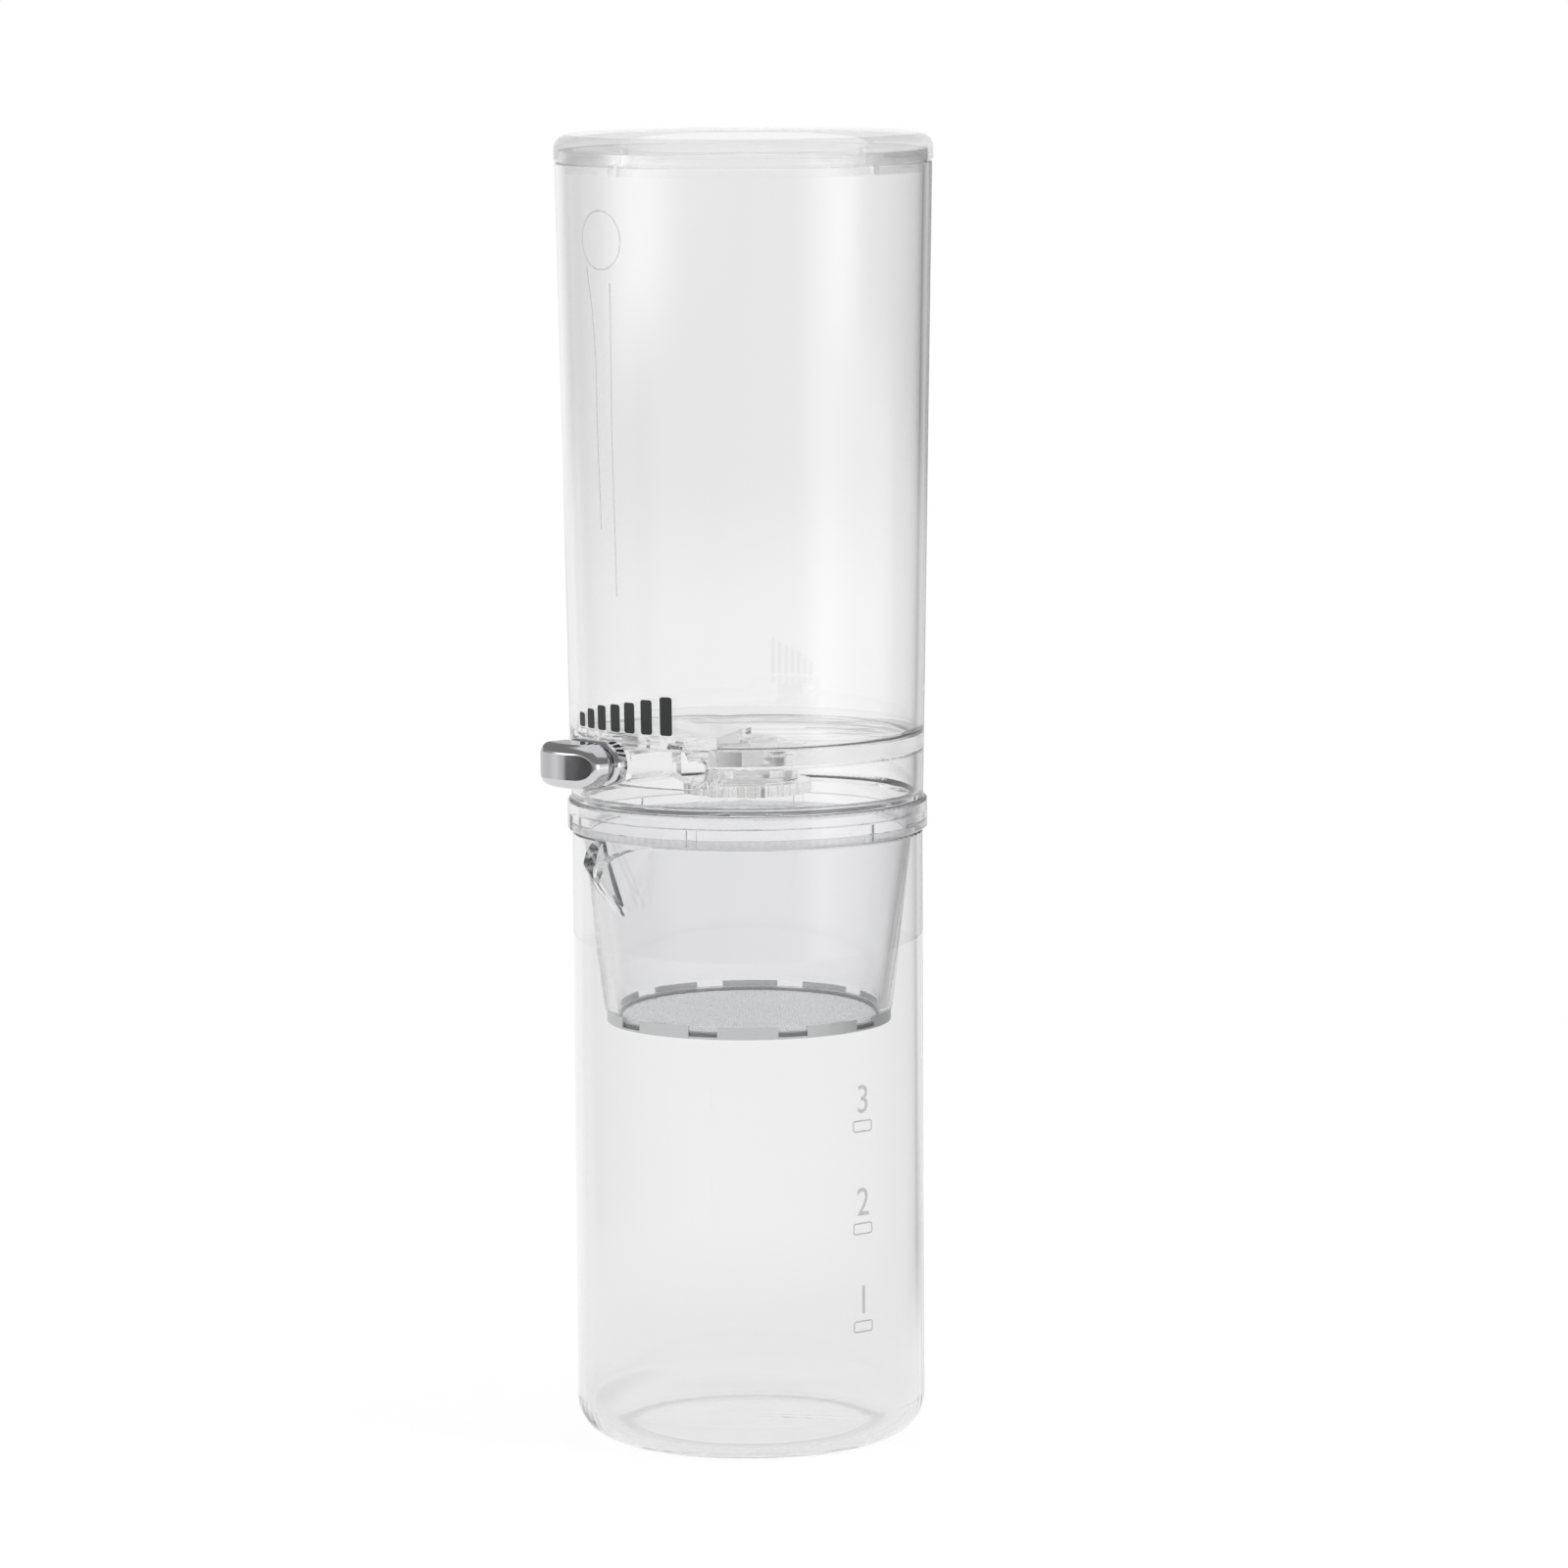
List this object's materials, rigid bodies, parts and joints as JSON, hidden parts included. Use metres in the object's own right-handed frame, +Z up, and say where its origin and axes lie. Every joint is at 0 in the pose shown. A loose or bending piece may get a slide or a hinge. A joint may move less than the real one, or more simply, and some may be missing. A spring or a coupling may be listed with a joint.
{
  "type": "cold drip coffee maker",
  "caption": "Clear cold-drip coffee tower: lidded water tank with a lever-set drip valve, conical brew basket with steel screen, and a spouted glass carafe.",
  "frame": {"origin": "centre of the ring that the carafe stands on", "axes": "+Z up along the tower's axis, front towards -Y, the knob at the left front"},
  "size_m": [0.1006, 0.0968, 0.3356],
  "materials": {
    "carafe_glass": "clear borosilicate glass",
    "clear_plastic": "clear moulded copolyester",
    "silicone": "translucent moulded silicone",
    "brushed_steel": "satin stainless steel",
    "steel_screen": "fine woven stainless steel",
    "polished_steel": "mirror-polished stainless steel",
    "white_acetal": "turned natural acetal"
  },
  "bodies": {
    "carafe": {"carafe_glass": "carafe_glass"},
    "basket": {"brew_basket": "clear_plastic", "basket_gasket": "silicone"},
    "filter": {"filter_ring": "brushed_steel", "filter_screen": "steel_screen", "screen_rim": "brushed_steel", "filter_seal": "silicone"},
    "tank": {"water_tank": "clear_plastic", "valve_seat": "silicone", "disc_spring": "brushed_steel"},
    "lever": {"valve_spindle": "white_acetal", "spindle_cap": "clear_plastic", "o_ring_lower": "silicone", "o_ring_upper": "silicone", "drip_nozzle": "clear_plastic", "lever_arm": "clear_plastic", "lever_knob": "polished_steel", "knob_stud": "brushed_steel"},
    "lid": {"lid": "clear_plastic"}
  },
  "joints": [
    {"name": "basket_lift", "type": "slide", "parent": "carafe", "child": "basket", "axis": [0, 0, 1], "range_m": [0, 0.06]},
    {"name": "filter_pull", "type": "slide", "parent": "basket", "child": "filter", "axis": [0, 0, -1], "range_m": [0, 0.03]},
    {"name": "tank_lift", "type": "slide", "parent": "basket", "child": "tank", "axis": [0, 0, 1], "range_m": [0, 0.05]},
    {"name": "lever_turn", "type": "hinge", "parent": "tank", "child": "lever", "pos_m": [0, 0, 0.177], "axis": [0, 0, 1], "range_deg": [-17.4, 29]},
    {"name": "lid_lift", "type": "slide", "parent": "tank", "child": "lid", "axis": [0, 0, 1], "range_m": [0, 0.04]}
  ]
}
